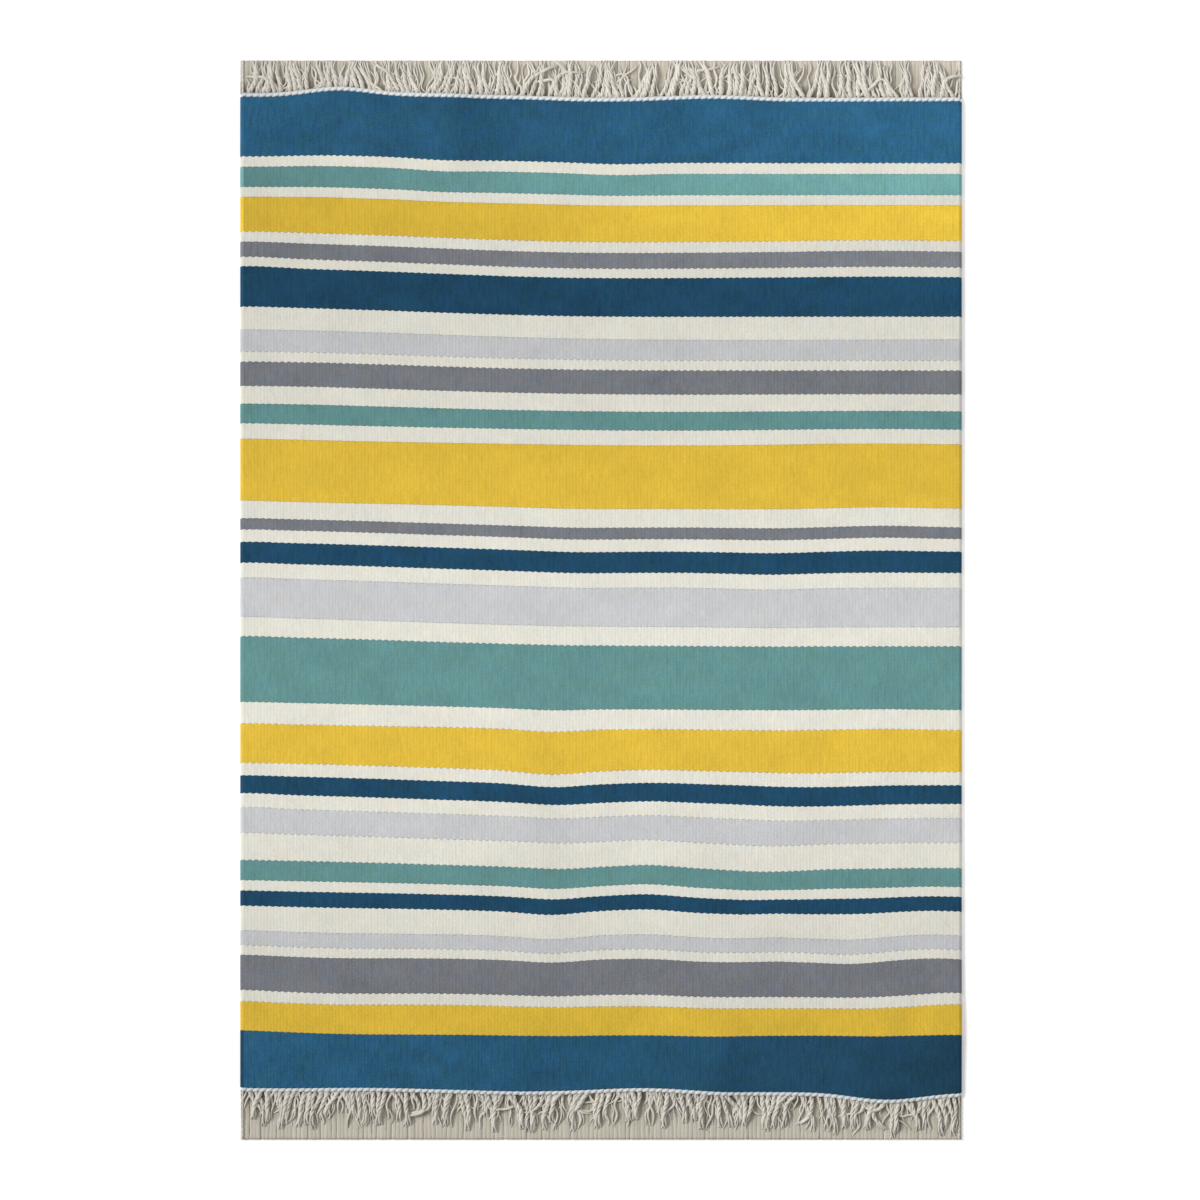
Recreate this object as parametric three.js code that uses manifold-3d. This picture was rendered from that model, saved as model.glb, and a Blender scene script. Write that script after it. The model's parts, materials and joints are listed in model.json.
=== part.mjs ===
// A flat-woven striped bath mat. Bands of coloured weft are packed round a sheet of warp yarns and a
// selvedge cord at each side, a twined cord closes each end, and the warp's loose ends are the fringe.
// Millimetres: +X across the width, +Y along the length, +Z up, origin at the middle of the underside.
import * as THREE from "three";
import { mergeVertices } from "three/addons/utils/BufferGeometryUtils.js";
import Module from "manifold-3d";

// Driving dimensions.
const MAT_WIDTH = 600;
const PICK_SPACING = 0.5; // one pass of the weft, beaten up against the last one
const WARP_THICKNESS = 1.2;
const WEFT_COVER = 1.1; // weft that lies over each side of the warp
const SELVEDGE_WRAP = 0.6; // least weft round the outside of a selvedge cord
const CLEARANCE = 0.3; // kept between pieces that touch on the real mat
const SELVEDGE_CORD = 2.2; // diameter
const END_CORD_WIDTH = 2.2;
const FAR_FRINGE = 30; // strands at the +Y end, from the cord to the trimmed tips
const NEAR_FRINGE = 39;
const FRINGE_STRAND = 2.4; // width of one strand
const FRINGE_SPACING = 6; // from one strand to the next
const FRINGE_ROOT = 1; // length of a strand that is joined to the warp sheet
const FOLD_AFTER_STRIPE = 22; // the mat folds between this stripe and the next
const ARC_STEPS = 4; // three.js makes an arc of twice as many chords

// The stripes from the +Y end, each as its yarn and its number of picks.
const STRIPES = [
  ["blue", 103], ["cream", 18], ["teal", 35], ["cream", 17], ["yellow", 60], ["cream", 18],
  ["grey", 26], ["cream", 16], ["navy", 65], ["cream", 37], ["silver", 36], ["cream", 17],
  ["grey", 40], ["cream", 29], ["teal", 31], ["cream", 25], ["yellow", 105], ["cream", 31],
  ["grey", 19], ["cream", 21], ["navy", 35], ["cream", 25], ["silver", 65], ["cream", 32],
  ["teal", 106], ["cream", 34], ["yellow", 69], ["cream", 22], ["navy", 31], ["cream", 24],
  ["silver", 41], ["cream", 43], ["teal", 32], ["cream", 17], ["navy", 25], ["cream", 41],
  ["silver", 24], ["cream", 16], ["grey", 58], ["cream", 19], ["yellow", 48], ["blue", 92],
];

// Yarn colours, and how rough each yarn's surface is.
const YARNS = {
  blue: { color: "#2a5675", roughness: 0.9 },
  navy: { color: "#224a67", roughness: 0.9 },
  teal: { color: "#649293", roughness: 0.9 },
  yellow: { color: "#dfba42", roughness: 0.9 },
  grey: { color: "#76797f", roughness: 0.9 },
  silver: { color: "#c4c6c9", roughness: 0.9 },
  cream: { color: "#e2dfd2", roughness: 0.9 },
  end_cord: { color: "#e6e6e3", roughness: 0.85 },
  warp: { color: "#cdc6b6", roughness: 0.95 },
};

// Sizes that follow from the driving dimensions.
const SLOT_HEIGHT = WARP_THICKNESS + 2 * CLEARANCE;
const MID_HEIGHT = SLOT_HEIGHT / 2 + WEFT_COVER;
const EYE_RADIUS = SELVEDGE_CORD / 2 + CLEARANCE;
const EDGE_RADIUS = Math.max(MID_HEIGHT, EYE_RADIUS + SELVEDGE_WRAP);
const EYE_X = MAT_WIDTH / 2 - EDGE_RADIUS;
const SHEET_WIDTH = 2 * (EYE_X - EYE_RADIUS);
const SHEET_TOP = EDGE_RADIUS + WARP_THICKNESS / 2;
const weaveLength = PICK_SPACING * STRIPES.reduce((sum, [, picks]) => sum + picks, 0);
const matLength = FAR_FRINGE + NEAR_FRINGE + 2 * END_CORD_WIDTH + weaveLength;
const weaveFar = matLength / 2 - FAR_FRINGE - END_CORD_WIDTH;
const weaveNear = weaveFar - weaveLength;

const wasm = await Module();
wasm.setup();

const materials = {};
for (const [name, look] of Object.entries(YARNS)) {
  materials[name] = new THREE.MeshStandardMaterial({ name, metalness: 0, ...look });
}

const mat = new THREE.Group();

function addPiece(name, geometry, yarn) {
  const mesh = new THREE.Mesh(geometry, materials[yarn]);
  mesh.name = name;
  mat.add(mesh);
  return mesh;
}

// The section of a weft band across the mat: rounded at the selvedges, with a slot that holds the
// warp sheet and opens at each side into a round eye for the selvedge cord.
function sleeveSection() {
  const outline = new THREE.Shape();
  outline.absarc(EYE_X, 0, EDGE_RADIUS, -Math.PI / 2, Math.PI / 2);
  outline.absarc(-EYE_X, 0, EDGE_RADIUS, Math.PI / 2, 1.5 * Math.PI);
  const mouth = Math.asin(SLOT_HEIGHT / 2 / EYE_RADIUS);
  const slot = new THREE.Path();
  slot.absarc(EYE_X, 0, EYE_RADIUS, mouth - Math.PI, Math.PI - mouth);
  slot.absarc(-EYE_X, 0, EYE_RADIUS, mouth, 2 * Math.PI - mouth);
  outline.holes.push(slot);
  return outline;
}

// A sleeve round the warp from farY back to nearY, half a clearance short at each end.
function addSleeve(name, farY, nearY, yarn) {
  const geometry = new THREE.ExtrudeGeometry(sleeveSection(), {
    depth: farY - nearY - CLEARANCE,
    curveSegments: ARC_STEPS,
    bevelEnabled: false,
  });
  const sleeve = addPiece(name, geometry, yarn);
  sleeve.rotation.x = Math.PI / 2;
  sleeve.position.set(0, farY - CLEARANCE / 2, EDGE_RADIUS);
}

function toSolid(geometry) {
  geometry.deleteAttribute("normal");
  geometry.deleteAttribute("uv");
  const merged = mergeVertices(geometry);
  const solid = new wasm.Mesh({
    numProp: 3,
    vertProperties: merged.getAttribute("position").array,
    triVerts: new Uint32Array(merged.index.array),
  });
  return new wasm.Manifold(solid);
}

function toGeometry(solid) {
  const { vertProperties, triVerts } = solid.getMesh();
  const geometry = new THREE.BufferGeometry();
  geometry.setAttribute("position", new THREE.BufferAttribute(vertProperties, 3));
  geometry.setIndex(new THREE.BufferAttribute(triVerts, 1));
  geometry.computeVertexNormals();
  return geometry;
}

// A block that spans the given height, centred on x and lying between two places along the mat.
function block(width, x, startY, endY, bottom, top) {
  const geometry = new THREE.BoxGeometry(width, Math.abs(endY - startY), top - bottom);
  geometry.translate(x, (startY + endY) / 2, (bottom + top) / 2);
  return geometry;
}

// Half of the warp: the yarns lie side by side as one sheet inside the bands, and past the end cord
// they part into the fringe, whose strands rest on the ground.
function addWarpHalf(name, foldY, cordY, tipY) {
  const outward = Math.sign(tipY - foldY);
  const sheetStart = foldY + outward * CLEARANCE / 2;
  const fringeStart = cordY + outward * CLEARANCE;
  const sheetEnd = fringeStart + outward * FRINGE_ROOT;
  const sheetBottom = SHEET_TOP - WARP_THICKNESS;
  let warp = toSolid(block(SHEET_WIDTH, 0, sheetStart, sheetEnd, sheetBottom, SHEET_TOP));
  const lastStrand = Math.floor((SHEET_WIDTH - FRINGE_STRAND) / FRINGE_SPACING);
  for (let i = 0; i <= lastStrand; i += 1) {
    const x = (i - lastStrand / 2) * FRINGE_SPACING;
    const strand = block(FRINGE_STRAND, x, fringeStart, tipY, 0, SHEET_TOP);
    warp = warp.add(toSolid(strand));
  }
  addPiece(name, toGeometry(warp), "warp");
}

function addSelvedgeCord(name, side, foldY, tipY) {
  const start = foldY + Math.sign(tipY - foldY) * CLEARANCE / 2;
  const radius = SELVEDGE_CORD / 2;
  const geometry = new THREE.CylinderGeometry(radius, radius, Math.abs(tipY - start), 2 * ARC_STEPS);
  const cord = addPiece(name, geometry, "warp");
  cord.position.set(side * EYE_X, (start + tipY) / 2, EDGE_RADIUS);
}

// The weft bands, from the +Y end, and the place of the fold between two of them.
let edge = weaveFar;
let foldY = edge;
for (const [index, [yarn, picks]] of STRIPES.entries()) {
  const next = edge - picks * PICK_SPACING;
  const number = String(index + 1).padStart(2, "0");
  addSleeve(`weft_${number}_${yarn}`, edge, next, yarn);
  edge = next;
  if (index + 1 === FOLD_AFTER_STRIPE) {
    foldY = edge;
  }
}

addSleeve("twined_cord_far", weaveFar + END_CORD_WIDTH, weaveFar, "end_cord");
addSleeve("twined_cord_near", weaveNear, weaveNear - END_CORD_WIDTH, "end_cord");

const halves = [
  { half: "far", cordY: weaveFar + END_CORD_WIDTH, tipY: matLength / 2 },
  { half: "near", cordY: weaveNear - END_CORD_WIDTH, tipY: -matLength / 2 },
];
for (const { half, cordY, tipY } of halves) {
  addWarpHalf(`warp_and_fringe_${half}`, foldY, cordY, tipY);
  addSelvedgeCord(`selvedge_cord_left_${half}`, -1, foldY, tipY);
  addSelvedgeCord(`selvedge_cord_right_${half}`, 1, foldY, tipY);
}

export default mat;
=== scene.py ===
# A flat-woven striped bath mat lying on a pale floor, seen from straight above.
# Sizes are in millimetres, and make_object turns them into Blender's metres.
import json
import math
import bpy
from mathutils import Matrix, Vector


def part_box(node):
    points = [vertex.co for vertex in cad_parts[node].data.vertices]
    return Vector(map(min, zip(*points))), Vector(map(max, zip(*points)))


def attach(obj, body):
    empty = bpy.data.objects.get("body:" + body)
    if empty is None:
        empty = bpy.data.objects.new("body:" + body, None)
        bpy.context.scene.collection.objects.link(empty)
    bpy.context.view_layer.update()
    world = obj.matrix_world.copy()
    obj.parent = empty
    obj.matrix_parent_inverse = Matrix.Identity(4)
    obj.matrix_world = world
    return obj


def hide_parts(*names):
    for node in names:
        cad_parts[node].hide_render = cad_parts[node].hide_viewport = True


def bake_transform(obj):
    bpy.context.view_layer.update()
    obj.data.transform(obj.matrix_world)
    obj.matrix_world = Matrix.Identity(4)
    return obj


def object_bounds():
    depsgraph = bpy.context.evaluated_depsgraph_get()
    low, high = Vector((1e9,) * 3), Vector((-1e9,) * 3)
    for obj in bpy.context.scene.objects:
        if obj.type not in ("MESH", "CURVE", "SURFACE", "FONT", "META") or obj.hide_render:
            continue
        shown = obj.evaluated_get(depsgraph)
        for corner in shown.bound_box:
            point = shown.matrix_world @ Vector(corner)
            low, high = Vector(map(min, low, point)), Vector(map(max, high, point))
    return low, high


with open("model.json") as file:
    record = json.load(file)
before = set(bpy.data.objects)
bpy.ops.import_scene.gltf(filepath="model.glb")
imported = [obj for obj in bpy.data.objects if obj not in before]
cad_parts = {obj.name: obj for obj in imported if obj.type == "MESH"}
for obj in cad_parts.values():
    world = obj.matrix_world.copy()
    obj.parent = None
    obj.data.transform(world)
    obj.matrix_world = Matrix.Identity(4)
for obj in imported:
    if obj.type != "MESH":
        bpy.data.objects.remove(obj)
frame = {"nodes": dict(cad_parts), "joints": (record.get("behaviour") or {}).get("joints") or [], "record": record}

from types import SimpleNamespace

import bpy
import numpy as np
from mathutils import Vector

MM = 0.001
CAD_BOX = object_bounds()

# The weave.
WARP_PITCH = 2.7
COLUMNS_PER_WARP = 4
SELVEDGE_X = 297.0  # where the flat of the mat ends and its round edge starts
MIDDLE_HEIGHT = 2.0
HALF_THICKNESS = 1.95
HALF_WARPS = round(SELVEDGE_X / WARP_PITCH)
HALF_COLUMNS = HALF_WARPS * COLUMNS_PER_WARP
RIB_DEPTH = 0.05  # from the top of a rib to the groove between two warps
SEAM = 0.004  # half the gap between two bands
GROOVES_VARY = (0.75, 1.25)  # how deep the groove beside one warp is, against most
TOOTH_DEPTH = 0.36  # how far one warp's floats reach past a straight border
TEETH_VARY = (0.7, 1.2)
TOOTH_ROUNDING = 0.7  # below 1 the scallops are squarer than a wave
LIP = 0.5  # strip along a border whose surface turns down
LIP_SHRINK = 0.995
BORDER_STRIP = 3.0  # strip along a border in which its scallops die away
ROW = 6.0  # from one row of points to the next along the mat
FOLD_ROW = 1.0
FOLD_REACH = 8.0  # the cloth bends this far to each side of the fold
SLOT_HALF = 0.9  # half the height of the space that the warp lies in
EYE_X = 298.0
EYE_RADIUS = 1.4
EDGE_TURNS = (60, 30, 0, -30, -60)  # the points of the mat's round edge, in degrees above its middle
HOLE_COLUMNS = 51  # points across the slot
EYE_POINTS = 9
EDGE_WARPS = 3  # how far the weave's pattern runs on round the mat's edge, in warps
CAP_WARPS = 62  # the same along each side of a band's end
MAT_EDGE = CAD_BOX[1].x / MM
OUTLINE_LENGTH = 4 * MAT_EDGE  # once round a band, across the mat
BAND_CLEARANCE = 0.3  # the gap that the CAD model leaves between two bands
FOLD_Y = frame["joints"][0]["pos_m"][1] / MM
TOOTH_SHARE = {0: 0.5, 41: 0.3, 42: 0.5}  # borders, counted from the far end, that are straighter than most

# Where a band's parts lie up its bake map, from 0 to 1: its outside, the space inside it and its two ends.
BAKE_OUTSIDE = (0.0, 0.88)
BAKE_INSIDE = (0.88, 0.94)
BAKE_FAR_END = 0.945
BAKE_NEAR_END = 0.972
BAKE_END_HEIGHT = 0.02
BAKE_SIDES = 4.2  # how many sides of a band's outline span the map
BAKE_MARGIN = 0.02  # share of a strip's height that is left free above and below
# The same for the warp sheet.
BAKE_WARP = (0.02, 0.96)
BAKE_WARP_ENDS = (0.97, 0.98)
BAKE_WARP_END_HEIGHT = 0.008
# Each cut of a yarn has a cell of its own, which is this many times as wide as high.
CELL_SHAPE = 7
CELL_MARGIN_ALONG = 0.04
CELL_MARGIN_ROUND = 0.06
CELL_END_SHIFT = 0.025  # how far out in the margin a yarn's end lies
CELL_END_HALF = 0.01  # and half its width there

# The yarns that lie free.
CORD_STRAND = 1.6  # half the width of one strand of an end cord
CORD_FLATNESS = 0.62
CORD_SPREAD = 0.55
CORD_RISE = 0.85
CORD_OUTWARD = 0.7  # from the middle of the CAD cord to the twist's own middle
CORD_STEP = 0.8
CORD_SIDES = 8
CORD_CUTS = 12  # pieces that each strand is cut into on its bake map
CORD_DEPTH = 0.8  # the fringe starts this far inside the end cord
SELVEDGE_PLY = 0.6  # radius of one ply of a selvedge cord
SELVEDGE_TWIST = 0.5  # from the middle of the cord to the middle of a ply
SELVEDGE_LAY = 9.0  # length of one turn
SELVEDGE_POINTS = 451
SELVEDGE_DIP = 4.0  # the cord comes down to the fringe this far before and past the end cord
WARP_RIB = 0.58  # half the thickness of the warp sheet at a warp
WARP_GROOVE = 0.28  # and between two
WARP_ROWS = 18  # rows of points from the fold's reach to each end
ROOT_HEIGHT = 1.2
SINK_LENGTH = 9.0  # a strand comes down this far before its end
SINK_HEIGHT = 1.3
FRINGE_HEIGHT = 1.6
WARP_HALF_WIDTH = 296.4
YARN_APART = 7.31  # from one yarn's place in the noise to the next yarn's
WALK_STEP = 0.5
WANDER = 0.1  # how far a yarn's direction strays in one step, in radians
SWAY = 1.4  # how far it sways from side to side, against its waviness
WAVE_LENGTHS = (14, 34)
LEAN_EASE = 3.5  # the lean ends over about this length
CURL_EASE = 2.6
CURL_START = 0.45  # share of a yarn's length at which it starts to curl
ROOT_EASE = 3.0  # a yarn settles on its own height over about this length
EDGE_GAP = 0.3
FLOOR_GAP = 0.05  # the least room under a strand
CLUMP_MOST = 4  # strands that lean towards one place
CLUMP_SHIFT = 7.5
CLUMP_GATHER = (-0.1, 0.9)  # how far apart its strands stay: 1 as at their roots, below 0 crossed over
LEAN_SPREAD = 0.07
STRANDS = 104
STRAND_PITCH = 5.7
STRAND_POINTS = 28
STRAND_PLIES = 3
PLY_RADIUS = 0.9  # from the middle of a strand to the middle of a ply
PLY_TURN = 14.0  # length of one turn
OPEN_FROM = 0.6  # share of a strand's length past which its plies open out
OPEN_WIDER = 1.3  # how much wider, flatter and less twisted they lie at its end
OPEN_FLATTER = 0.7
OPEN_UNTWIST = 0.4
LOOSE_YARNS = 260
LOOSE_HALF_WIDTH = 296
LOOSE_POINTS = 22
BED_POINTS = 16
# The bed's layers. pitch is from one yarn to the next, thick half a yarn's width, and rise half its height.
BED_LAYERS = [
    SimpleNamespace(pitch=2.0, thick=1.1, rise=0.5, height=0.55, sway=0.05, waviness=0.08),
    SimpleNamespace(pitch=3.3, thick=2.3, rise=0.45, height=1.05, sway=0.02, waviness=0.04),
]

# The surroundings.
FLOOR_SIZE = 12000.0
CAMERA_LENS = 100
FRAME_WIDTH = 997.2  # what the camera takes in at the height of the mat
CAMERA_X = -0.8

# Where the weft was beaten further up (+) or down (-) the mat: x, y, height, reach in x, reach in y.
MEAN_DRIFT = -2.1
LEFT_DRIFT = 7.6  # more at the left edge, all the way along it
LEFT_EDGE = -300
LEFT_REACH = 195
DRIFTS = [
    (-290, 410, -3.5, 45, 60),
    (-215, 425, 4.4, 32, 30),
    (95, 420, 2.2, 40, 35),
    (-20, 285, -1.3, 110, 50),
    (230, 125, 2.0, 110, 45),
    (-230, 130, -2.0, 110, 25),
    (-240, -107, -2.2, 110, 22),
    (-45, -130, -2.8, 30, 40),
    (40, -245, 3.0, 32, 100),
    (140, -220, -2.8, 35, 45),
    (-230, -320, -3.4, 75, 60),
    (275, -290, 3.0, 40, 60),
    (238, -412, -6.5, 42, 32),
    (40, -412, 4.0, 60, 32),
    (-280, -412, -3.0, 70, 40),
    (180, -165, -1.8, 50, 30),
    (-47, -272, -2.0, 26, 40),
    (207, -290, -1.7, 28, 30),
    (235, 60, 1.4, 45, 30),
    (235, -110, 1.3, 50, 30),
    (75, -140, 0.9, 50, 40),
    (-20, 40, -1.1, 45, 50),
    (230, 290, 1.2, 70, 30),
    (-290, 0, 1.2, 25, 70),
    (200, -361, 1.6, 130, 12),
    (295, -335, 2.2, 25, 25),
    (-185, -361, -1.2, 80, 14),
    (-130, 357, -1.5, 28, 25),
    (12, 360, -1.4, 35, 25),
    (-292, 270, 1.9, 35, 35),
    (-240, 79, -1.2, 80, 12),
    (140, 20, -1.4, 40, 45),
    (-295, -180, 1.8, 30, 30),
    (145, -262, 1.3, 20, 45),
    (215, -405, 1.5, 90, 18),
    (0, -290, 1.1, 28, 70),
    (120, 219, -1.0, 180, 10),
    (-32, -205, -1.0, 22, 110),
    (-260, -245, -0.8, 80, 28),
    (-200, 418, -1.7, 90, 14),
    (-4, 418, -1.2, 45, 14),
    (165, 418, -0.6, 110, 14),
]

# Low waves that lift the cloth: x, y, height, reach to the left and right of the crest, half length, turn.
WAVES = [
    (-72, -400, 2.6, 130, 24, 55, 0),
    (97, -400, 5.4, 60, 21, 45, 0),
    (225, -400, 2.6, 40, 30, 45, 0),
    (-128, 405, 5.4, 80, 21, 45, 0),
    (46, 405, 2.0, 60, 28, 45, 0),
    (215, 400, 1.4, 80, 90, 50, 0),
    (-258, 398, 1.0, 12, 14, 45, -63),
    (-270, 345, 1.0, 30, 110, 35, 0),
    (-60, -190, 2.6, 80, 26, 130, 4),
    (60, -190, 1.8, 26, 80, 130, 4),
    (150, -215, 0.8, 30, 45, 70, -12),
    (-150, -240, 0.7, 70, 60, 60, 0),
    (-40, 120, 0.7, 60, 40, 120, 8),
    (180, 190, 0.7, 70, 60, 80, -10),
    (240, -349, 1.8, 40, 12, 24, -40),
    (280, -352, 1.4, 14, 30, 24, -40),
]

BODY_OF = {
    node: body
    for body, nodes in frame["record"]["behaviour"]["bodies"].items()
    for node in nodes
}


def box_mm(node):
    low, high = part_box(node)
    return low / MM, high / MM


def end_of_mat(name, way, seed, strand, reach, curled):
    """Where an end's cord stops and its fringe is trimmed. way is the direction that points off the mat.
    strand is the least and greatest length of a strand, reach how far it leans, and curled the share that
    curl."""
    cord = box_mm("twined_cord_" + name)[way > 0].y + way * CORD_OUTWARD
    tip = box_mm("warp_and_fringe_" + name)[way > 0].y
    return SimpleNamespace(
        name=name,
        way=way,
        cord=cord,
        tip=tip,
        length=abs(tip - cord),
        seed=seed,
        strand=strand,
        reach=reach,
        curled=curled,
    )


FAR = end_of_mat("far", 1, seed=11, strand=(28, 46), reach=(14, 36), curled=0.2)
NEAR = end_of_mat("near", -1, seed=23, strand=(24, 35), reach=(10, 26), curled=0.15)


def drift(x, y):
    """How far the weft at a place lies up the mat from where a straight stripe would be."""
    total = MEAN_DRIFT + LEFT_DRIFT * np.exp(-(((x - LEFT_EDGE) / LEFT_REACH) ** 2))
    for x0, y0, height, reach_x, reach_y in DRIFTS:
        total = total + height * np.exp(-(((x - x0) / reach_x) ** 2) - ((y - y0) / reach_y) ** 2)
    return total


def lift(x, y):
    """How high the cloth stands off the floor at a place."""
    total = 0
    for x0, y0, height, left, right, half_length, turn in WAVES:
        c, s = math.cos(math.radians(turn)), math.sin(math.radians(turn))
        across = (x - x0) * c + (y - y0) * s
        along = (y - y0) * c - (x - x0) * s
        reach = np.where(across < 0, left, right)
        total = total + height * np.exp(-((across / reach) ** 2) - (along / half_length) ** 2)
    return total


class Shape:
    """Gathers points and faces, with their weave and bake coordinates, and makes them one object."""

    def __init__(self):
        self.points = []
        self.corners = []
        self.sizes = []
        self.weave = []
        self.bake = []
        self.smooth = []
        self.count = 0

    def add_points(self, points):
        points = np.asarray(points, float).reshape(-1, 3)
        first = self.count
        self.points.append(points)
        self.count += len(points)
        return first

    def add_faces(self, corners, weave, bake, smooth=True):
        """corners is one row of point numbers for each face, and weave and bake a place for each."""
        corners = np.asarray(corners)
        faces, size = corners.shape
        self.corners.append(corners.ravel())
        self.sizes.append(np.full(faces, size))
        self.weave.append(np.asarray(weave, float).reshape(-1, 2))
        self.bake.append(np.asarray(bake, float).reshape(-1, 2))
        self.smooth.append(np.full(faces, smooth))

    def make_object(self, name, material):
        corners = np.concatenate(self.corners)
        sizes = np.concatenate(self.sizes)
        mesh = bpy.data.meshes.new(name)
        mesh.vertices.add(self.count)
        mesh.vertices.foreach_set("co", (np.concatenate(self.points) * MM).ravel())
        mesh.loops.add(len(corners))
        mesh.loops.foreach_set("vertex_index", corners)
        mesh.polygons.add(len(sizes))
        mesh.polygons.foreach_set("loop_start", np.cumsum(sizes) - sizes)
        mesh.polygons.foreach_set("use_smooth", np.concatenate(self.smooth))
        for layer, places in (("Weave", self.weave), ("OFBake", self.bake)):
            uv = mesh.uv_layers.new(name=layer)
            uv.uv.foreach_set("vector", np.concatenate(places).ravel())
        mesh.update(calc_edges=True)
        mesh.validate()
        mesh.materials.append(material)
        piece = bpy.data.objects.new(name, mesh)
        bpy.context.scene.collection.objects.link(piece)
        return piece


# Materials.

DARKEST = 0.62  # how far noise darkens a yarn
WEFT_PALEST = 1.38
YARN_PALEST = 1.3
TINT = 0.3  # how far a band's colour wanders between warm and cool
WEFT_BUMP = 0.12 * MM
YARN_BUMP = 0.2 * MM


class Nodes:
    """A material's node tree, with one short call for each kind of node that the yarns use."""

    def __init__(self, name):
        self.material = bpy.data.materials.new(name)
        self.material.use_nodes = True
        self.tree = self.material.node_tree
        self.surface = self.tree.nodes["Principled BSDF"]

    def put(self, socket, value):
        if isinstance(value, bpy.types.NodeSocket):
            self.tree.links.new(value, socket)
        else:
            socket.default_value = value

    def maths(self, operation, first, second=0.0):
        node = self.tree.nodes.new("ShaderNodeMath")
        node.operation = operation
        self.put(node.inputs[0], first)
        self.put(node.inputs[1], second)
        return node.outputs[0]

    def weave_place(self):
        node = self.tree.nodes.new("ShaderNodeUVMap")
        node.uv_map = "Weave"
        return node.outputs[0]

    def split(self, vector):
        node = self.tree.nodes.new("ShaderNodeSeparateXYZ")
        self.put(node.inputs[0], vector)
        return node.outputs[0], node.outputs[1]

    def noise(self, place, scale, detail=2.0, roughness=0.5):
        """Noise from about 0 to 1 whose grains are 1/scale long each way."""
        stretch = self.tree.nodes.new("ShaderNodeMapping")
        self.put(stretch.inputs["Vector"], place)
        stretch.inputs["Scale"].default_value = (*scale, 1)
        node = self.tree.nodes.new("ShaderNodeTexNoise")
        self.put(node.inputs["Vector"], stretch.outputs[0])
        node.inputs["Scale"].default_value = 1.0
        node.inputs["Detail"].default_value = detail
        node.inputs["Roughness"].default_value = roughness
        return node.outputs["Fac"]

    def weigh(self, parts, start=0.5):
        """start, plus each weight times how far its value is from a half."""
        total = start
        for weight, value in parts:
            offset = self.maths("MULTIPLY_ADD", value, weight)
            offset.node.inputs[2].default_value = -weight / 2
            total = self.maths("ADD", offset, total)
        return total

    def mix(self, share, dark, pale):
        node = self.tree.nodes.new("ShaderNodeMix")
        node.data_type = "RGBA"
        self.put(node.inputs["Factor"], share)
        self.put(node.inputs["A"], dark)
        self.put(node.inputs["B"], pale)
        return node.outputs["Result"]

    def ramp(self, place, stops):
        """The colour at a place from 0 to 1, given as pairs of a place and a colour."""
        node = self.tree.nodes.new("ShaderNodeValToRGB")
        self.put(node.inputs[0], place)
        points = node.color_ramp.elements
        while len(points) < len(stops):
            points.new(1.0)
        for point, (at, colour) in zip(points, stops):
            point.position = at
            point.color = colour
        if len(stops) < len(points):
            points.remove(points[1])
        return node.outputs["Color"]

    def shade(self, colour, share, dark, pale):
        """The colour times dark where share is 0, and times pale where it is 1."""
        shaded = self.mix(1.0, colour, self.mix(share, dark, pale))
        shaded.node.blend_type = "MULTIPLY"
        return shaded

    def cloth(self, colour, height, distance, sheen):
        """Ends the material as matt cotton, with height as its bump in steps of distance metres."""
        bump = self.tree.nodes.new("ShaderNodeBump")
        bump.inputs["Distance"].default_value = distance
        self.put(bump.inputs["Height"], height)
        surface = self.surface.inputs
        self.put(surface["Base Color"], colour)
        self.put(surface["Normal"], bump.outputs[0])
        surface["Roughness"].default_value = 0.92
        surface["Specular IOR Level"].default_value = 0.15
        surface["Sheen Weight"].default_value = sheen
        surface["Sheen Roughness"].default_value = 0.6
        return self.material


def linear(red, green, blue):
    """A colour given as it looks on a screen, from 0 to 255, as the light that Blender counts in."""
    parts = [part / 255 for part in (red, green, blue)]
    return [p / 12.92 if p <= 0.04045 else ((p + 0.055) / 1.055) ** 2.4 for p in parts]


def shade_of(colour, times):
    return (*[part * times for part in colour], 1.0)


def grey(level):
    return (level, level, level, 1)


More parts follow.
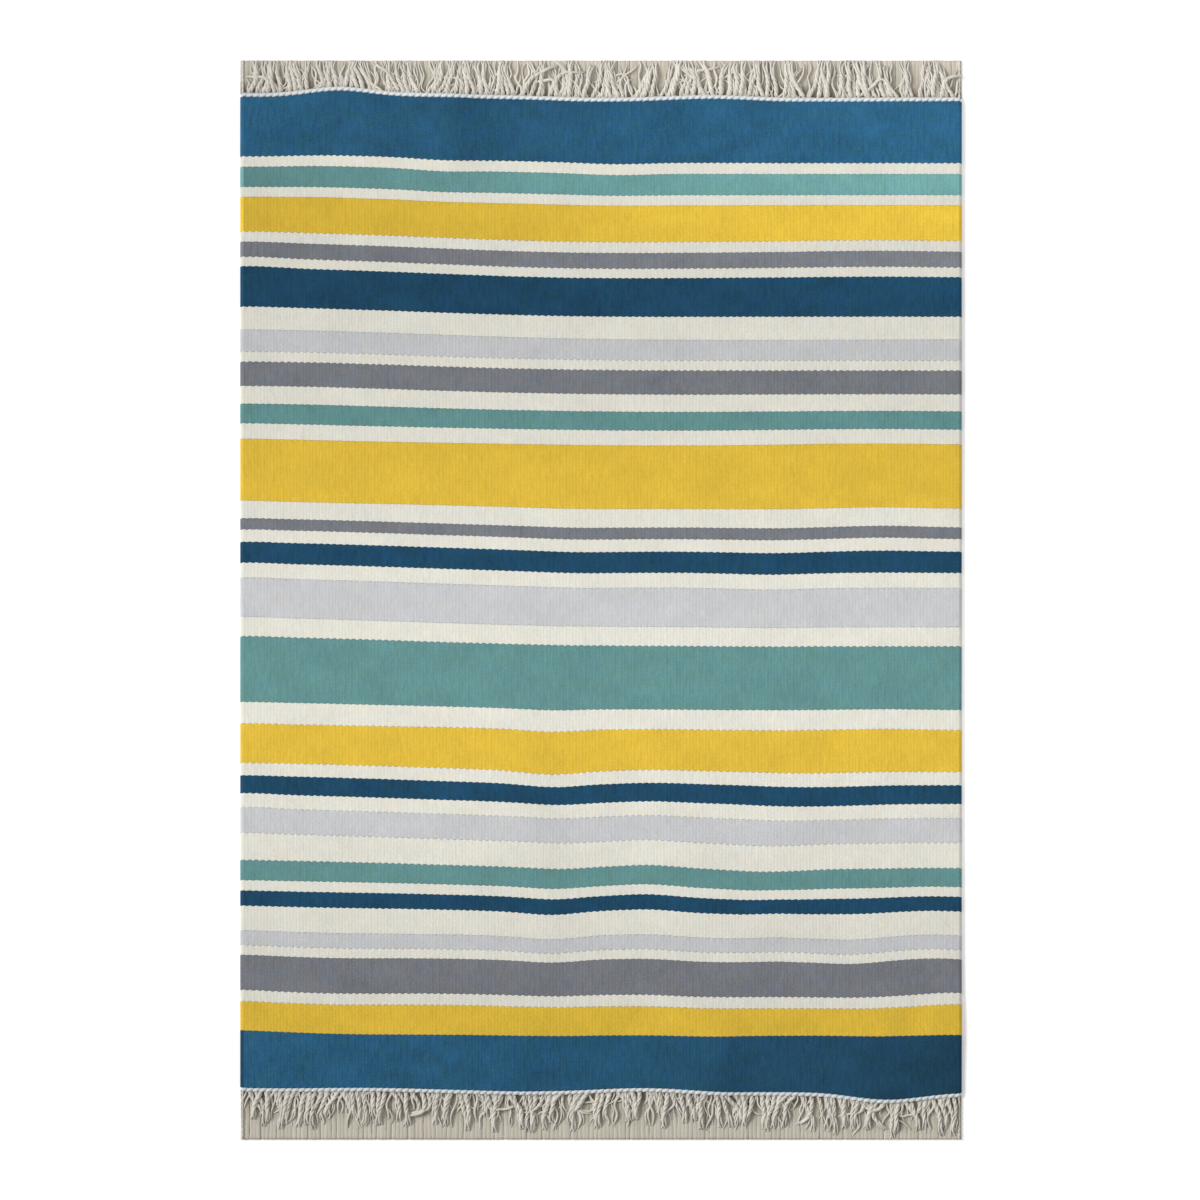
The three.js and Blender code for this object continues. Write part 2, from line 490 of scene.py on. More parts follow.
def weft_material(name, colour, contrast, painted_light=((0, 1.0),)):
    """Cotton weft: floats of two picks over each warp, with fine and coarse grains, a rib along each warp and
    painted shade in its grooves. The last argument holds painted reflection and shade across the mat: how light
    the cotton is at places from the left edge of the mat, 0, to the right, 1."""
    nodes = Nodes(name)
    place = nodes.weave_place()
    warps, picks = nodes.split(place)
    warp = nodes.maths("FLOOR", nodes.maths("ADD", warps, 0.5))
    pick = nodes.maths("MULTIPLY_ADD", warp, 0.5)
    nodes.put(pick.node.inputs[2], picks)
    float_wave = nodes.maths("COSINE", nodes.maths("MULTIPLY", pick, 2 * math.pi))
    rib_wave = nodes.maths("COSINE", nodes.maths("MULTIPLY", warps, 2 * math.pi))
    fibres = nodes.noise(place, (2.2, 1.6), detail=3, roughness=0.7)
    grains = nodes.noise(place, (0.8, 0.7), detail=3, roughness=0.75)
    ribs = nodes.noise(place, (1.0, 0.08), detail=3)
    hues = nodes.noise(place, (0.16, 0.11), detail=3, roughness=0.65)
    patches = nodes.noise(place, (0.07, 0.035), detail=3, roughness=0.6)
    # Painted shade: the colour darkens a little in the groove between two warps.
    groove_shade = nodes.maths("MULTIPLY_ADD", rib_wave, 0.5)
    groove_shade.node.inputs[2].default_value = 0.5
    share = nodes.weigh([
        (0.8 * contrast, fibres),
        (1.1 * contrast, grains),
        (0.9 * contrast, ribs),
        (0.9 * contrast, patches),
        (0.08 * contrast, groove_shade),
    ])
    across = nodes.maths("MULTIPLY_ADD", warps, 0.5 / HALF_WARPS)
    across.node.inputs[2].default_value = 0.5
    # Painted reflection and shade across the mat, from the last argument.
    base = nodes.ramp(across, [(at, shade_of(colour, tone)) for at, tone in painted_light])
    height = nodes.weigh([(0.7, float_wave), (1.1, fibres), (0.2, rib_wave)])
    shaded = nodes.shade(base, share, grey(DARKEST), grey(WEFT_PALEST))
    tint = TINT * contrast
    warm, cool = (1 + tint / 2, 1, 1 - tint, 1), (1 - tint / 2, 1, 1 + tint, 1)
    return nodes.cloth(nodes.shade(shaded, hues, warm, cool), height, WEFT_BUMP, sheen=0.03)


def yarn_material(name, colours, contrast, painted_shade_patchiness=0.0):
    """Loose cotton yarn. colours gives its colour at distances from where it starts, in millimetres."""
    nodes = Nodes(name)
    place = nodes.weave_place()
    _, along = nodes.split(place)
    longest = max(1.0, *[distance for distance, _ in colours])
    gone = nodes.maths("DIVIDE", along, longest)
    fibres = nodes.noise(place, (5.0, 0.45), detail=3, roughness=0.7)
    strands = nodes.noise(place, (0.6, 0.01), detail=1)
    patches = nodes.noise(place, (0.03, 0.06), detail=2)
    # Noise moves the colours along a yarn in patches; on the bed this makes its painted shade uneven.
    shifted = nodes.weigh([(painted_shade_patchiness, patches)], start=gone)
    base = nodes.ramp(shifted, [(distance / longest, shade_of(colour, 1)) for distance, colour in colours])
    share = nodes.weigh([(0.5 * contrast, fibres), (0.9 * contrast, strands), (0.4 * contrast, patches)])
    shaded = nodes.shade(base, share, grey(DARKEST), grey(YARN_PALEST))
    return nodes.cloth(shaded, nodes.weigh([(1.0, fibres)]), YARN_BUMP, sheen=0.1)


YARNS = {
    "blue": (linear(33, 81, 110), 1.0),
    "navy": (linear(22, 66, 93), 1.0),
    "teal": (linear(92, 136, 135), 0.55),
    "yellow": (linear(211, 176, 58), 0.42),
    "grey": (linear(112, 115, 121), 0.65),
    "silver": (linear(187, 188, 190), 0.32),
    "cream": (linear(213, 211, 200), 0.28),
}
WEFT = {name: weft_material("weft_" + name, colour, contrast) for name, (colour, contrast) in YARNS.items()}
# Bands with painted light: lighter stretches along them are a painted reflection and darker ones painted shade,
# mostly lighter towards the right at the far end and darker there at the near end, with how light they are at
# places from the left edge to the right.
PAINTED_LIGHT_ACROSS_BANDS = {
    "weft_01_blue": ((0, 1.18), (0.1, 1.02), (0.35, 0.92), (1, 1.38)),
    "weft_03_teal": ((0, 0.9), (1, 1.5)),
    "weft_05_yellow": ((0, 0.94), (0.4, 0.96), (0.55, 1.08), (1, 1.2)),
    "weft_07_grey": ((0, 0.98), (1, 1.18)),
    "weft_09_navy": ((0, 0.98), (0.4, 0.94), (1, 1.16)),
    "weft_42_blue": ((0, 1.24), (0.55, 0.98), (1, 0.58)),
}
END_CORD_COLOUR = linear(202, 207, 209)
WARP_COLOUR = linear(196, 188, 170)
END_CORD = yarn_material("end_cord", [(0, END_CORD_COLOUR)], 0.3)
WARP = yarn_material("warp", [(0, WARP_COLOUR)], 0.6)
# Painted shade: the fringe's strands are darker over their first 5 mm, by the end cord.
FRINGE = yarn_material("fringe", [(0, linear(178, 173, 163)), (5, linear(203, 198, 188))], 0.8)
# Painted shade: the bed is dark brown at the end cord and pales over 30 mm away from it, where the cord and the
# strands shade it.
BED_COLOURS_WITH_PAINTED_SHADE = [
    (0, linear(80, 71, 58)),
    (5, linear(120, 112, 96)),
    (12, linear(172, 165, 151)),
    (30, linear(190, 184, 170)),
]
UNDER_FRINGE = yarn_material("under_fringe", BED_COLOURS_WITH_PAINTED_SHADE, 0.5, painted_shade_patchiness=0.5)


# The bands.

WARPS = np.random.default_rng(7).uniform(*GROOVES_VARY, 2 * HALF_WARPS + 3)


def warp_number(x):
    return np.clip(np.rint((x + SELVEDGE_X) / WARP_PITCH).astype(int), 0, len(WARPS) - 1)


def groove(x):
    """How far the surface lies below the top of a rib."""
    return RIB_DEPTH * WARPS[warp_number(x)] * (0.5 - 0.5 * np.cos(2 * math.pi * x / WARP_PITCH))


def ring_shares(flat, edge):
    """How far round each point of a ring is: 0 to 1 along the top, to 2 round the edge, to 3 along the
    underside and to 4 round the other edge."""
    turn = np.arange(1, edge + 1) / (edge + 1)
    run = np.linspace(0, 1, flat)
    return np.concatenate([run, 1 + turn, 2 + run, 3 + turn])


def band_ring():
    """A band's outline across the mat, clockwise from the top left: x, height from the middle and share
    round."""
    columns = np.arange(-HALF_COLUMNS, HALF_COLUMNS + 1) * WARP_PITCH / COLUMNS_PER_WARP
    top = HALF_THICKNESS - groove(columns)
    turns = np.radians(EDGE_TURNS)
    edge_x = SELVEDGE_X + (MAT_EDGE - SELVEDGE_X) * np.cos(turns)
    edge_z = HALF_THICKNESS * np.sin(turns)
    x = np.concatenate([columns, edge_x, columns[::-1], -edge_x[::-1]])
    z = np.concatenate([top, edge_z, -top[::-1], edge_z[::-1]])
    return x, z, ring_shares(len(columns), len(turns))


def hole_ring():
    """The space inside a band: a slot for the warp with a round eye for each selvedge cord."""
    mouth = math.asin(SLOT_HALF / EYE_RADIUS)
    slot_x = EYE_X - EYE_RADIUS * math.cos(mouth)
    flat = np.linspace(-slot_x, slot_x, HOLE_COLUMNS)
    turns = np.linspace(math.pi - mouth, mouth - math.pi, EYE_POINTS)[1:-1]
    eye_x = EYE_X + EYE_RADIUS * np.cos(turns)
    eye_z = EYE_RADIUS * np.sin(turns)
    height = np.full(len(flat), SLOT_HALF)
    x = np.concatenate([flat, eye_x, flat[::-1], -eye_x[::-1]])
    z = np.concatenate([height, eye_z, -height, eye_z[::-1]])
    return x, z, ring_shares(len(flat), len(turns))


def zip_rings(outer, inner):
    """Triangles across the space between two rings, as two lists: those with two points on the outer ring,
    and those with two on the inner."""
    outer_ends = np.append(outer, 4.0)
    inner_ends = np.append(inner, 4.0)
    from_outer, from_inner = [], []
    a = b = 0
    while a < len(outer) or b < len(inner):
        outer_next = outer_ends[a + 1] if a < len(outer) else 5.0
        inner_next = inner_ends[b + 1] if b < len(inner) else 5.0
        if outer_next <= inner_next:
            from_outer.append((a, (a + 1) % len(outer), b % len(inner)))
            a += 1
        else:
            from_inner.append((a % len(outer), (b + 1) % len(inner), b))
            b += 1
    return np.array(from_outer), np.array(from_inner)


def teeth(x, border):
    """The border's scallops: floats over every other warp reach past it, and the rest fall short."""
    strength = np.random.default_rng(100 + border).uniform(*TEETH_VARY, len(WARPS))
    wave = np.cos(math.pi * x / WARP_PITCH)
    rounded = np.sign(wave) * np.abs(wave) ** TOOTH_ROUNDING
    return TOOTH_DEPTH * TOOTH_SHARE.get(border, 1.0) * strength[warp_number(x)] * rounded


def band_rows(width, step):
    """How far each row of a band's points is from its far border."""
    count = max(2, math.ceil((width - 2 * BORDER_STRIP) / step) + 1)
    plain = np.linspace(BORDER_STRIP, width - BORDER_STRIP, count)
    return np.concatenate([[0, LIP], plain, [width - LIP, width]])


def loft(shape, ring, rows, far_y, bends, bake_rows, inward):
    """Adds one ring surface to a band, and returns the numbers of its points, one row for each ring."""
    x, z, shares = ring
    y = far_y - rows[:, None]
    grid_y = y + drift(x[None, :], y) + bends(x)
    shrink = np.ones(len(rows))
    if not inward:
        shrink[[0, -1]] = LIP_SHRINK
    grid_z = MIDDLE_HEIGHT + lift(x[None, :], y) + z[None, :] * shrink[:, None]
    grid_x = np.broadcast_to(x, grid_y.shape)
    first = shape.add_points(np.stack([grid_x, grid_y, grid_z], axis=-1))
    numbers = first + np.arange(grid_y.size).reshape(grid_y.shape)

    i, j = (part.ravel() for part in np.mgrid[0 : len(rows) - 1, 0 : len(x)])
    corner_rows = np.stack([i, i + 1, i + 1, i], axis=-1)
    corner_columns = np.stack([j, j, j + 1, j + 1], axis=-1)
    if inward:
        corner_rows, corner_columns = corner_rows[:, ::-1], corner_columns[:, ::-1]
    warps_at_sides = np.array([-1, 1, 1, 3, 3]) * HALF_WARPS + np.array([0, 0, 1, 1, 2]) * EDGE_WARPS
    warps = np.interp(np.append(shares, 4.0), range(5), warps_at_sides)
    weave = np.stack([warps[corner_columns], (far_y - rows)[corner_rows]], axis=-1)

    strips = max(1, round(math.sqrt(OUTLINE_LENGTH / rows[-1])))
    strip_length = math.ceil(len(x) / strips)
    strip = j // strip_length
    along = (corner_columns - (strip * strip_length)[:, None]) / strip_length
    up = BAKE_MARGIN + (1 - 2 * BAKE_MARGIN) * rows[corner_rows] / rows[-1]
    low, high = bake_rows
    height = (high - low) / strips
    bake = np.stack([along, low + (strip[:, None] + up) * height], axis=-1)
    shape.add_faces(numbers[corner_rows, corner_columns % len(x)], weave, bake)
    return numbers


def cap_band(shape, points, ring_places, border_y, bake_low, far):
    """Closes a band's end round the space for the warp. points and ring_places hold the numbers of the points
    and their shares round, first those of the outer ring and then those of the inner."""
    for triangles, rings in zip(zip_rings(*ring_places), ((0, 0, 1), (0, 1, 1))):
        corners = np.stack([points[ring][triangles[:, k]] for k, ring in enumerate(rings)], axis=-1)
        shares = np.stack([ring_places[ring][triangles[:, k]] for k, ring in enumerate(rings)], axis=-1)
        shares = np.where((shares < 1) & (shares.max(axis=1, keepdims=True) > 3), shares + 4, shares)
        weave = np.stack([shares * CAP_WARPS, np.full(shares.shape, border_y)], axis=-1)
        depth = np.broadcast_to(np.array(rings) * BAKE_END_HEIGHT, shares.shape)
        bake = np.stack([shares / BAKE_SIDES, bake_low + depth], axis=-1)
        if not far:
            corners, weave, bake = corners[:, ::-1], weave[:, ::-1], bake[:, ::-1]
        shape.add_faces(corners, weave, bake, smooth=False)


def make_band(node, number, colour):
    low, high = box_mm(node)
    far_y = high.y + BAND_CLEARANCE / 2 - SEAM
    width = far_y - (low.y - BAND_CLEARANCE / 2 + SEAM)
    bends_over = low.y < FOLD_Y + FOLD_REACH and high.y > FOLD_Y - FOLD_REACH
    rows = band_rows(width, FOLD_ROW if bends_over else ROW)

    def bends(x):
        shifts = np.zeros((len(rows), len(x)))
        shifts[:2] = teeth(x, number - 1)
        shifts[-2:] = teeth(x, number)
        return shifts

    shape = Shape()
    rings = band_ring(), hole_ring()
    ring_places = [ring[2] for ring in rings]
    outer = loft(shape, rings[0], rows, far_y, bends, BAKE_OUTSIDE, inward=False)
    inner = loft(shape, rings[1], rows, far_y, bends, BAKE_INSIDE, inward=True)
    cap_band(shape, (outer[0], inner[0]), ring_places, far_y, BAKE_FAR_END, far=True)
    cap_band(shape, (outer[-1], inner[-1]), ring_places, far_y - width, BAKE_NEAR_END, far=False)
    cotton = WEFT[colour]
    # Bands with painted reflection and shade across them get a material of their own.
    if node in PAINTED_LIGHT_ACROSS_BANDS:
        cotton = weft_material(node, *YARNS[colour], PAINTED_LIGHT_ACROSS_BANDS[node])
    piece = shape.make_object(node + "_yarn", cotton)
    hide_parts(node)
    if bends_over:
        bend_over(piece)
    else:
        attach(piece, BODY_OF[node])
    return piece


def bend_over(piece):
    """Bakes a piece's place into its mesh and leaves it on no body, between the two halves of the mat."""
    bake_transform(piece)


# Yarns that lie free: the end cords, the selvedge cords and the fringe.


def add_yarns(shape, paths, radii, sides, flatness=1.0, along_start=0.0, cuts=1, bake_rows=(0, 1)):
    """Adds a round yarn along each path. paths is yarns x points x 3, radii yarns x points."""
    yarns, points, _ = paths.shape
    forward = np.gradient(paths, axis=1)
    forward /= np.linalg.norm(forward, axis=2, keepdims=True)
    side = np.cross(forward, (0, 0, 1))
    side /= np.linalg.norm(side, axis=2, keepdims=True)
    up = np.cross(side, forward)
    turn = np.arange(sides) * 2 * math.pi / sides
    reach = radii[:, :, None, None]
    ring = side[:, :, None] * np.cos(turn)[:, None] + up[:, :, None] * np.sin(turn)[:, None] * flatness
    first = shape.add_points(paths[:, :, None] + ring * reach)
    numbers = first + np.arange(yarns * points * sides).reshape(yarns, points, sides)

    lengths = np.linalg.norm(np.diff(paths, axis=1), axis=2)
    along = along_start + np.concatenate([np.zeros((yarns, 1)), np.cumsum(lengths, axis=1)], axis=1)
    columns = math.ceil(math.sqrt(yarns * cuts / CELL_SHAPE))
    cell_width, cell_height = 1 / columns, 1 / math.ceil(yarns * cuts / columns)

    def corners_of(n, m, s, start):
        """Weave and bake places of point s of ring m of yarn n, in the cut that starts at ring start."""
        n, m, s = np.broadcast_arrays(n, m, s)
        weave = np.stack([n * YARN_APART + s / sides, along[n, m]], axis=-1)
        cell = n * cuts + start // cut_length
        u = CELL_MARGIN_ALONG + (1 - 2 * CELL_MARGIN_ALONG) * (m - start) / cut_length
        v = CELL_MARGIN_ROUND + (1 - 2 * CELL_MARGIN_ROUND) * s / sides
        u = (cell % columns + u) * cell_width
        v = (cell // columns + v) * cell_height
        low, high = bake_rows
        return weave, np.stack([u, low + v * (high - low)], axis=-1)

    cut_length = math.ceil((points - 1) / cuts)
    n, m, s = (part.ravel()[:, None] for part in np.mgrid[0:yarns, 0 : points - 1, 0:sides])
    ring_m = m + np.array([0, 1, 1, 0])
    ring_s = s + np.array([0, 0, 1, 1])
    weave, bake = corners_of(n, ring_m, ring_s, m // cut_length * cut_length)
    shape.add_faces(numbers[n, ring_m, ring_s % sides], weave, bake)
    for end, order in ((0, 1), (points - 1, -1)):
        n, s = np.arange(yarns)[:, None], np.arange(sides)[::order][None, :]
        start = max(end - 1, 0) // cut_length * cut_length
        weave, bake = corners_of(n, end, s, start)
        bake[..., 0] += order * cell_width * (CELL_END_HALF * np.cos(turn[::order]) - CELL_END_SHIFT)
        shape.add_faces(numbers[n, end, s], weave, bake, smooth=False)


def make_end_cord(end):
    """Two strands that twist round each other in and out of the warps, one turn in every four warps."""
    node = "twined_cord_" + end.name
    low, high = box_mm(node)
    middle = (low.y + high.y) / 2 + end.way * CORD_OUTWARD
    steps = round(2 * (MAT_EDGE - CORD_STRAND) / CORD_STEP)
    x = np.linspace(CORD_STRAND - MAT_EDGE, MAT_EDGE - CORD_STRAND, steps + 1)
    strands = []
    for phase in (0, math.pi):
        turn = math.pi * x / (2 * WARP_PITCH) + phase
        y = middle + drift(x, middle) + CORD_SPREAD * np.sin(turn)
        z = MIDDLE_HEIGHT + lift(x, middle) + CORD_RISE * np.cos(turn)
        strands.append(np.stack([x, y, z], axis=-1))
    shape = Shape()
    radii = np.full((2, steps + 1), CORD_STRAND)
    add_yarns(shape, np.array(strands), radii, CORD_SIDES, flatness=CORD_FLATNESS, cuts=CORD_CUTS)
    piece = shape.make_object(node + "_strands", END_CORD)
    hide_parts(node)
    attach(piece, BODY_OF[node])
    return piece


def make_selvedge_cord(side, x):
    """Two plies inside the edge of the bands, which bend with the mat and end with the fringe."""
    y = np.linspace(NEAR.tip, FAR.tip, SELVEDGE_POINTS)
    before_cord = np.minimum(FAR.cord - y, y - NEAR.cord)
    inside = np.clip((before_cord + SELVEDGE_DIP) / (2 * SELVEDGE_DIP), 0, 1)
    centre = FRINGE_HEIGHT + (MIDDLE_HEIGHT + lift(x, y) - FRINGE_HEIGHT) * inside
    plies = []
    for phase in (0, math.pi):
        turn = 2 * math.pi * y / SELVEDGE_LAY + phase
        ply_x = x + SELVEDGE_TWIST * np.cos(turn)
        ply_z = centre + SELVEDGE_TWIST * np.sin(turn)
        plies.append(np.stack([ply_x, y, ply_z], axis=-1))
    shape = Shape()
    radii = np.full((2, len(y)), SELVEDGE_PLY)
    add_yarns(shape, np.array(plies), radii, sides=6, along_start=4.0, cuts=8)
    name = "selvedge_cord_" + side
    piece = shape.make_object(name + "_plies", FRINGE)
    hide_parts(name + "_far", name + "_near")
    bend_over(piece)
    return piece


def make_warp():
    """The warp yarns side by side inside the bands, as one ribbed sheet that ends inside the end cords."""
    half = round(WARP_HALF_WIDTH * 2 / WARP_PITCH)
    x = np.arange(-half, half + 1) * WARP_PITCH / 2
    thickness = np.where(np.arange(-half, half + 1) % 2 == 0, WARP_RIB, WARP_GROOVE)
    bend = np.arange(FOLD_Y + FOLD_REACH, FOLD_Y - FOLD_REACH - 0.5, -FOLD_ROW)
    y = np.concatenate([
        np.linspace(FAR.cord - 1, bend[0], WARP_ROWS)[:-1],
        bend,
        np.linspace(bend[-1], NEAR.cord + 1, WARP_ROWS)[1:],
    ])
    grid_x, grid_y = np.meshgrid(x, y)
    centre = MIDDLE_HEIGHT + lift(grid_x, grid_y)
    places = grid_y + drift(grid_x, grid_y)
    shape = Shape()
    upper = np.stack([grid_x, places, centre + thickness], axis=-1)
    lower = np.stack([grid_x, places, centre - thickness], axis=-1)
    ring = np.concatenate([upper, lower[:, ::-1]], axis=1)
    rows, columns, _ = ring.shape
    numbers = shape.add_points(ring) + np.arange(rows * columns).reshape(rows, columns)
    i, j = (part.ravel()[:, None] for part in np.mgrid[0 : rows - 1, 0:columns])
    ring_i = i + np.array([0, 1, 1, 0])
    ring_j = j + np.array([0, 0, 1, 1])
    weave = np.stack([ring_j / 2, y[ring_i]], axis=-1)
    low, high = BAKE_WARP
    bake = np.stack([ring_j / columns, low + (high - low) * ring_i / rows], axis=-1)
    shape.add_faces(numbers[ring_i, ring_j % columns], weave, bake)
    k = np.arange(len(x) - 1)[:, None]
    across = np.stack([k, k + 1, columns - 2 - k, columns - 1 - k], axis=-1)[:, 0]
    for row, order, bake_low in zip((0, rows - 1), (1, -1), BAKE_WARP_ENDS):
        place = np.stack([across / columns, np.full(across.shape, bake_low)], axis=-1)
        place[:, 2:, 1] += BAKE_WARP_END_HEIGHT
        place[:, 2:, 0] = place[:, 1::-1, 0]
        weave = np.stack([across / 2, np.full(across.shape, y[row])], axis=-1)
        shape.add_faces(numbers[row, across][:, ::order], weave[:, ::order], place[:, ::order], smooth=False)
    piece = shape.make_object("warp_sheet", WARP)
    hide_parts("warp_and_fringe_far", "warp_and_fringe_near")
    bend_over(piece)
    return piece


def walk(end, yarns, draw):
    """Paths of loose yarns from the end cord. Each leans by its angle for its reach and then runs straight,
    or turns by its curl. It comes down to the height sink at its own end or where the fringe is trimmed."""
    roots, lengths = yarns.roots, yarns.lengths[:, None]
    s = np.arange(0, yarns.lengths.max(), WALK_STEP)[None, :]
    wave_length = draw.uniform(*WAVE_LENGTHS, (len(roots), 1))
    phase = draw.uniform(0, 2 * math.pi, (len(roots), 1))
    sway = np.cumsum(draw.normal(0, WANDER, (len(roots), s.shape[1])), axis=1)
    sway -= sway.mean(axis=1, keepdims=True)
    sway = yarns.waviness * (sway + SWAY * np.sin(2 * math.pi * s / wave_length + phase))
    angle = yarns.leans[:, None] / (1 + np.exp((s - yarns.reach[:, None]) / LEAN_EASE)) + sway
    angle = angle + yarns.curls[:, None] / (1 + np.exp((CURL_START * lengths - s) / CURL_EASE))
    x = roots[:, None] + np.cumsum(np.sin(angle), axis=1) * WALK_STEP
    out = np.cumsum(np.cos(angle), axis=1) * WALK_STEP
    limit = MAT_EDGE - yarns.half_width - EDGE_GAP
    past = np.abs(x) - limit
    x = np.where(past > 0, np.sign(x) * (limit + EDGE_GAP * np.tanh(past)), x)
    root_y = end.cord + drift(roots, end.cord) - end.way * CORD_DEPTH
    room = np.abs(end.tip - root_y)
    paths = np.empty((len(roots), yarns.points, 3))
    for k in range(len(roots)):
        beyond = np.nonzero(out[k] >= room[k])[0]
        own_end = int(yarns.lengths[k] / WALK_STEP) - 1
        last = min(beyond[0] if len(beyond) else own_end, own_end)
        at = np.linspace(0, last, yarns.points)
        steps = np.arange(out.shape[1])
        paths[k, :, 0] = np.interp(at, steps, x[k])
        paths[k, :, 1] = root_y[k] + end.way * np.minimum(np.interp(at, steps, out[k]), room[k])
        gone = at * WALK_STEP
        root_z = ROOT_HEIGHT + lift(roots[k], end.cord)
        settle = np.exp(-((gone / (ROOT_EASE + root_z)) ** 2))
        down = np.clip((gone - gone[-1] + SINK_LENGTH) / SINK_LENGTH, 0, 1) ** 2
        height = yarns.heights[k] + (root_z - yarns.heights[k]) * settle
        paths[k, :, 2] = height + (yarns.sink - height) * down
    return paths


def clump_leans(roots, reach, draw):
    """Neighbouring strands fall together: each clump leans towards one place, where its strands meet or
    cross."""
    leans = np.zeros(len(roots))
    first = 0
    while first < len(roots):
        size = draw.integers(1, CLUMP_MOST + 1)
        members = slice(first, min(first + size, len(roots)))
        middle = roots[members].mean()
        target = middle + draw.normal(0, CLUMP_SHIFT)
        gather = draw.uniform(*CLUMP_GATHER)
        aims = target + (roots[members] - middle) * gather
        leans[members] = np.arctan2(aims - roots[members], reach[members].mean())
        first += size
    return leans + draw.normal(0, LEAN_SPREAD, len(roots))


def ply(centres, draw):
    """Twists plies round each strand's centre line, close at its root, and lets them open out at its end."""
    strands, points, _ = centres.shape
    t = np.linspace(0, 1, points)[None, :]
    lengths = np.linalg.norm(np.diff(centres, axis=1), axis=2).sum(axis=1)[:, None]
    loose = np.clip((t - OPEN_FROM) / (1 - OPEN_FROM), 0, 1) ** 1.5
    start = draw.uniform(0, 2 * math.pi, (strands, 1))
    radius = PLY_RADIUS * np.clip(0.3 + 8 * t, 0, 1)
    turns = t * lengths / PLY_TURN * (1 - OPEN_UNTWIST * loose)
    made = []
    for k in range(STRAND_PLIES):
        turn = start + 2 * math.pi * (turns + k / STRAND_PLIES)
        path = centres.copy()
        path[:, :, 0] += radius * (1 + OPEN_WIDER * loose) * np.cos(turn)
        path[:, :, 2] += radius * (1 - OPEN_FLATTER * loose) * np.sin(turn)
        made.append(path)
    return np.concatenate(made)


def add_strands(shape, end, draw):
    """The plied strands that lie on top of the fringe."""
    count = STRANDS
    roots = (np.arange(count) - (count - 1) / 2) * STRAND_PITCH + draw.normal(0, 0.9, count)
    reach = draw.uniform(*end.reach, count)
    leans = clump_leans(roots, reach, draw)
    curled = draw.random(count) < end.curled
    yarns = SimpleNamespace(
        roots=roots,
        reach=reach,
        leans=leans,
        curls=np.where(curled, draw.choice([-1, 1], count) * draw.uniform(0.8, 2.3, count), 0),
        lengths=draw.uniform(*end.strand, count),
        heights=draw.uniform(2.3, 3.9, count),
        sink=SINK_HEIGHT,
        waviness=0.13,
        half_width=1.8,
        points=STRAND_POINTS,
    )
    plied = ply(walk(end, yarns, draw), draw)
    taper = np.interp(np.linspace(0, 1, STRAND_POINTS), [0, 0.1, 0.75, 1], [0.5, 1.0, 0.9, 0.45])
    radii = taper * np.tile(draw.uniform(0.8, 1.45, (count, 1)), (STRAND_PLIES, 1))
    plied[:, :, 2] = np.maximum(plied[:, :, 2], radii + FLOOR_GAP)
    add_yarns(shape, plied, radii, sides=6, bake_rows=(0, 0.6))


def add_loose_yarns(shape, end, draw):
    """Finer yarns that have come loose from the strands."""
    count = LOOSE_YARNS
    roots = np.sort(draw.uniform(-LOOSE_HALF_WIDTH, LOOSE_HALF_WIDTH, count))
    leans = draw.normal(0, 0.35, count)
    reach = draw.uniform(6, 26, count)
    curled = draw.random(count) < 0.2
    yarns = SimpleNamespace(
        roots=roots,
        leans=leans,
        reach=reach,
        curls=np.where(curled, draw.normal(0, 0.9, count), 0),
        lengths=draw.uniform(12, end.strand[1], count),
        heights=draw.uniform(1.7, 3.0, count),
        sink=SINK_HEIGHT,
        waviness=0.3,
        half_width=0.9,
        points=LOOSE_POINTS,
    )
    loose = walk(end, yarns, draw)
    taper = np.interp(np.linspace(0, 1, LOOSE_POINTS), [0, 0.7, 1], [1, 1, 0.5])
    radii = draw.uniform(0.6, 1.15, (count, 1)) * taper
    add_yarns(shape, loose, radii, sides=5, bake_rows=(0.6, 1))


def make_strands(end, draw):
    shape = Shape()
    add_strands(shape, end, draw)
    add_loose_yarns(shape, end, draw)
    return shape.make_object("fringe_" + end.name, FRINGE)


def make_bed(end, draw):
    """The finer yarns below, as two layers that lie side by side."""
    shape = Shape()
    for number, layer in enumerate(BED_LAYERS):
        roots = np.arange(layer.thick - MAT_EDGE, MAT_EDGE - layer.thick + layer.pitch, layer.pitch)
        count = len(roots)
        yarns = SimpleNamespace(
            roots=roots,
            leans=draw.normal(0, layer.sway, count),
            reach=draw.uniform(10, 24, count),
            curls=np.zeros(count),
            lengths=np.full(count, end.length + 12),
            heights=np.full(count, layer.height),
            sink=layer.height,
            waviness=layer.waviness,
            half_width=layer.thick,
            points=BED_POINTS,
        )
        bed = walk(end, yarns, draw)
        radii = np.broadcast_to(draw.uniform(0.75, 1, (count, 1)) * layer.thick, bed.shape[:2])
        bake_rows = (number / len(BED_LAYERS), (number + 1) / len(BED_LAYERS))
        add_yarns(shape, bed, radii, sides=8, flatness=layer.rise / layer.thick, bake_rows=bake_rows)
    return shape.make_object("fringe_bed_" + end.name, UNDER_FRINGE)


def make_fringe(end):
    """The warp's loose ends: plied strands over a bed of finer yarns, all trimmed along one line."""
    draw = np.random.default_rng(end.seed)
    pieces = [make_strands(end, draw), make_bed(end, draw)]
    for piece in pieces:
        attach(piece, BODY_OF["warp_and_fringe_" + end.name])
    return pieces


# The surroundings.


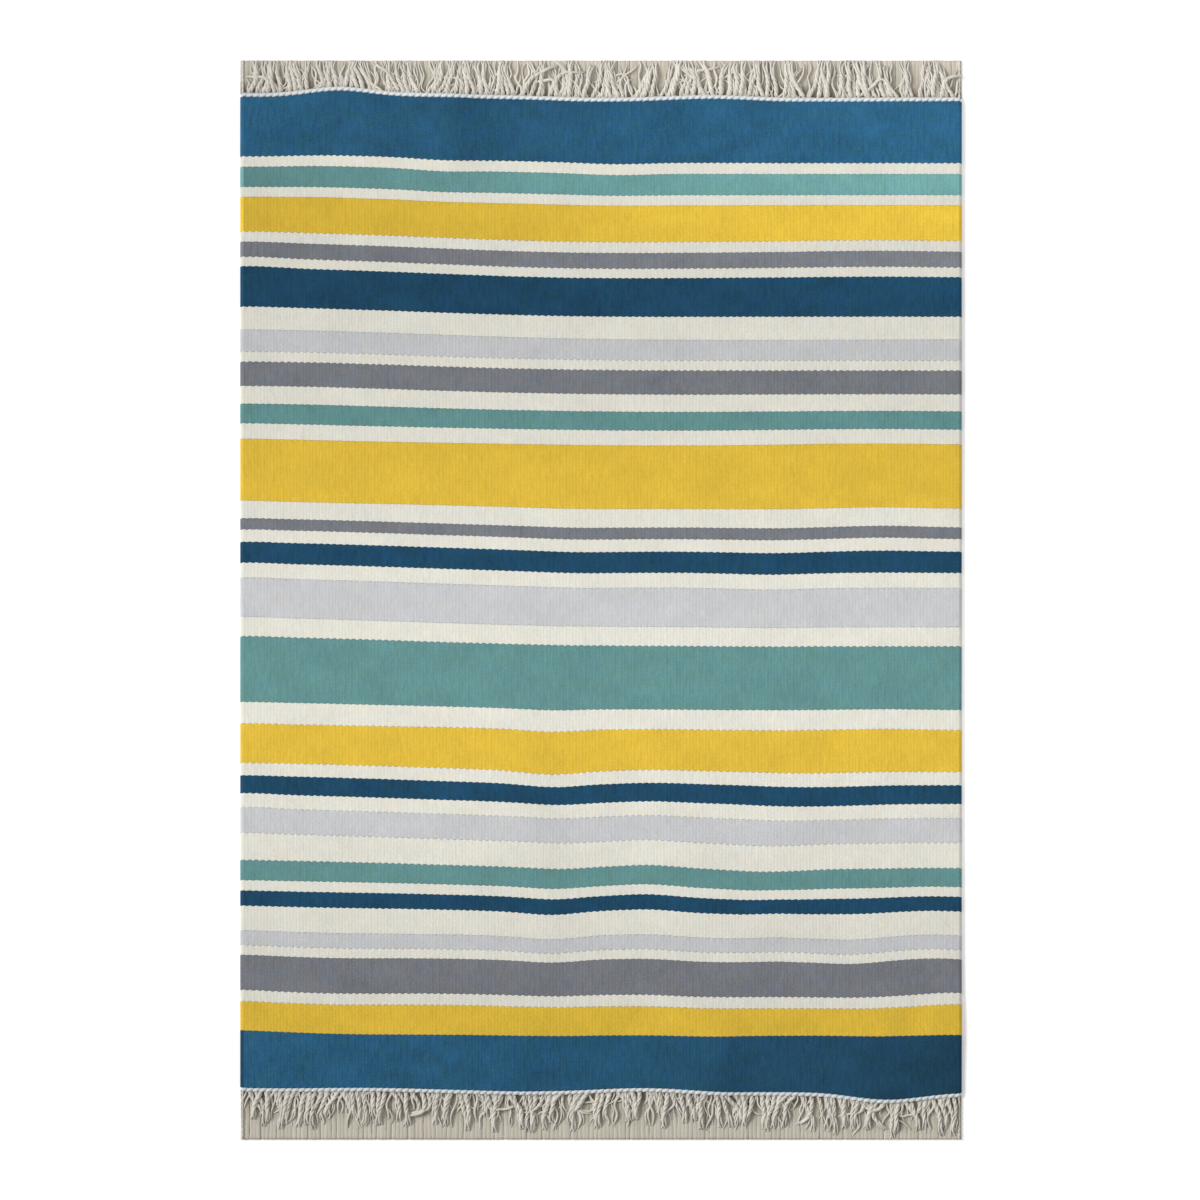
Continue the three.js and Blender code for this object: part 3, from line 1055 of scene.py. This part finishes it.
def make_floor():
    bpy.ops.mesh.primitive_plane_add(size=FLOOR_SIZE * MM)
    floor = bpy.context.object
    floor.name = "floor"
    material = bpy.data.materials.new("floor")
    material.use_nodes = True
    surface = material.node_tree.nodes["Principled BSDF"].inputs
    surface["Base Color"].default_value = (0.93, 0.93, 0.93, 1)
    surface["Roughness"].default_value = 0.9
    surface["Specular IOR Level"].default_value = 0.1
    surface["Emission Color"].default_value = (1, 1, 1, 1)
    surface["Emission Strength"].default_value = 0.16
    floor.data.materials.append(material)


def add_strip(name, x, y, height, length, width, power):
    """A long soft lamp that lies across the mat and shines down."""
    lamp = bpy.data.lights.new(name, "AREA")
    lamp.shape = "RECTANGLE"
    lamp.size = length
    lamp.size_y = width
    lamp.energy = power
    holder = bpy.data.objects.new(name, lamp)
    holder.location = (x, y, height)
    holder.visible_camera = False
    bpy.context.scene.collection.objects.link(holder)


def make_lights():
    """A broad sun from the left, strips of soft light over the middle and the far end, and a white studio
    all round."""
    sun = bpy.data.lights.new("key", "SUN")
    sun.energy = 2.75
    sun.angle = math.radians(22)
    key = bpy.data.objects.new("key", sun)
    key.rotation_euler = Vector((3.0, -1.0, -2.2)).to_track_quat("-Z", "Y").to_euler()
    bpy.context.scene.collection.objects.link(key)
    add_strip("middle_strip", x=0.05, y=-0.06, height=0.38, length=1.6, width=0.15, power=1.6)
    add_strip("far_strip", x=0.15, y=0.42, height=0.14, length=0.9, width=0.08, power=0.26)
    world = bpy.data.worlds.new("studio")
    world.use_nodes = True
    background = world.node_tree.nodes["Background"].inputs
    background["Color"].default_value = (1, 1, 1, 1)
    background["Strength"].default_value = 0.37
    bpy.context.scene.world = world


def make_camera():
    camera = bpy.data.cameras.new("camera")
    camera.lens = CAMERA_LENS
    height = FRAME_WIDTH * CAMERA_LENS / camera.sensor_width
    holder = bpy.data.objects.new("camera", camera)
    holder.location = (CAMERA_X * MM, 0, (height + 2 * MIDDLE_HEIGHT) * MM)
    bpy.context.scene.collection.objects.link(holder)
    bpy.context.scene.camera = holder


def make_mat():
    bands = sorted(node for node in frame["nodes"] if node.startswith("weft_"))
    for number, node in enumerate(bands, start=1):
        make_band(node, number, node.split("_")[2])
    for end in (FAR, NEAR):
        make_end_cord(end)
        make_fringe(end)
    make_selvedge_cord("left", -EYE_X)
    make_selvedge_cord("right", EYE_X)
    warp = make_warp()


make_camera()
make_mat()
make_floor()
make_lights()
bpy.context.scene.view_settings.view_transform = "Standard"
